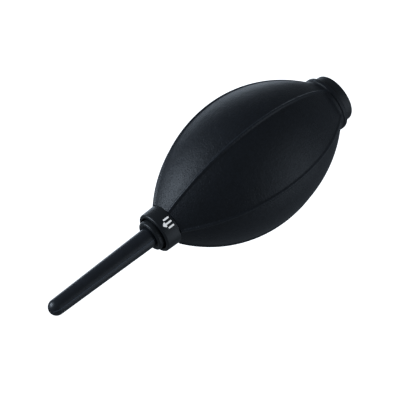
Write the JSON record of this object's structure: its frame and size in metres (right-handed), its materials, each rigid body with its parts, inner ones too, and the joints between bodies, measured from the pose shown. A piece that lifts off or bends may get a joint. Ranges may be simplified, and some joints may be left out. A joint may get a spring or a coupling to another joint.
{
  "type": "dust blower bulb",
  "caption": "Hand-squeezed rubber dust blower: a ribbed oval bulb with a slim tapered nozzle, a clamp collar, an outlet valve, and a pull-off rear cap over a filter and an inlet valve.",
  "frame": {"origin": "centre of the rear cap's flat end, where the blower stands upright", "axes": "+Z along the bulb's axis towards the nozzle's tip, -Y out through the middle of the panel that the thumb presses"},
  "size_m": [0.0596, 0.0573, 0.1613],
  "materials": {
    "bulb_rubber": "matte moulded silicone, fine grain",
    "collar_plastic": "satin black",
    "nozzle_plastic": "semi-gloss black",
    "cap_plastic": "satin black",
    "print_ink": "pad-printed white ink",
    "valve_plastic": "natural moulded plastic",
    "valve_silicone": "milky silicone",
    "seal_rubber": "soft matte",
    "spring_steel": "drawn wire",
    "screen_steel": "perforated sheet",
    "filter_foam": "white open-cell foam"
  },
  "bodies": {
    "housing": {"bulb_shell": "bulb_rubber", "front_collar": "collar_plastic", "collar_print": "print_ink", "nozzle_socket": "collar_plastic", "outlet_valve_seat": "valve_plastic", "outlet_valve_spring": "spring_steel", "rear_plug": "valve_plastic", "inlet_valve_spring": "spring_steel", "inlet_spring_clip": "valve_plastic", "cap_seal": "seal_rubber"},
    "thumb_wall": {"thumb_panel": "bulb_rubber"},
    "nozzle_tube": {"nozzle": "nozzle_plastic", "nozzle_o_ring": "seal_rubber"},
    "outlet_valve": {"outlet_valve_disc": "valve_silicone"},
    "inlet_valve": {"inlet_valve_poppet": "valve_plastic", "inlet_valve_seal": "valve_silicone"},
    "filter_cap": {"rear_cap": "cap_plastic", "filter_screen": "screen_steel", "filter_pad": "filter_foam"}
  },
  "joints": [
    {"name": "bulb_squeeze", "type": "slide", "parent": "housing", "child": "thumb_wall", "axis": [0, 1, 0], "range_m": [0, 0.01], "stiffness_N_per_m": 2500},
    {"name": "nozzle_pull", "type": "slide", "parent": "housing", "child": "nozzle_tube", "axis": [0, 0, 1], "range_m": [0, 0.012]},
    {"name": "outlet_valve_lift", "type": "slide", "parent": "housing", "child": "outlet_valve", "axis": [0, 0, 1], "range_m": [0, 0.0008], "stiffness_N_per_m": 20, "deforming": ["outlet_valve_spring"]},
    {"name": "inlet_valve_lift", "type": "slide", "parent": "housing", "child": "inlet_valve", "axis": [0, 0, 1], "range_m": [0, 0.0015], "stiffness_N_per_m": 20, "deforming": ["inlet_valve_spring"]},
    {"name": "cap_pull", "type": "slide", "parent": "housing", "child": "filter_cap", "axis": [0, 0, -1], "range_m": [0, 0.01]}
  ]
}
